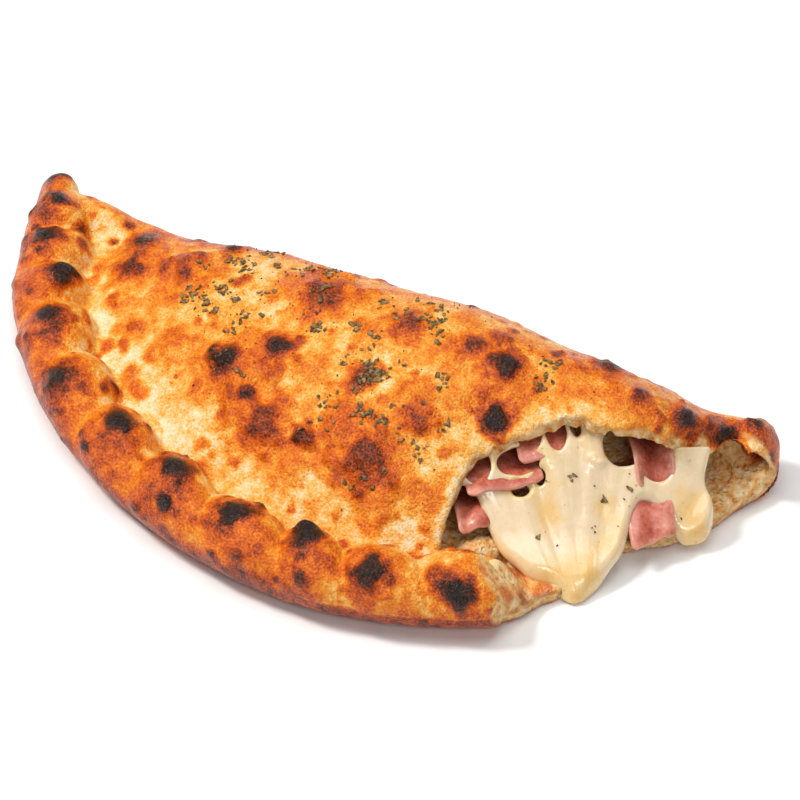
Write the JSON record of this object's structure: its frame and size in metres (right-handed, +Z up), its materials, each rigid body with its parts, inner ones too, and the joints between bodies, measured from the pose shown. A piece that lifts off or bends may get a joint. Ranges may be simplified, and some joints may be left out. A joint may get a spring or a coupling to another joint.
{
  "type": "calzone",
  "caption": "Half-moon calzone of baked dough with a rolled, crimped rim; one corner is torn away and shows melted cheese and slices of ham.",
  "frame": {"origin": "on the table, under the middle of the bounding box", "axes": "+X along the fold from the whole tip to the torn one, +Y from the rolled rim to the fold, +Z up"},
  "size_m": [0.3067, 0.1462, 0.0485],
  "materials": {
    "baked_dough": "baked dough, blistered, brown on pale, dry",
    "melted_cheese": "melted cheese, smooth and slightly greasy",
    "ham": "cooked ham, moist"
  },
  "bodies": {
    "root": {"crust": "baked_dough", "cheese": "melted_cheese", "ham_1": "ham", "ham_2": "ham", "ham_3": "ham", "ham_4": "ham", "ham_5": "ham"}
  },
  "joints": []
}
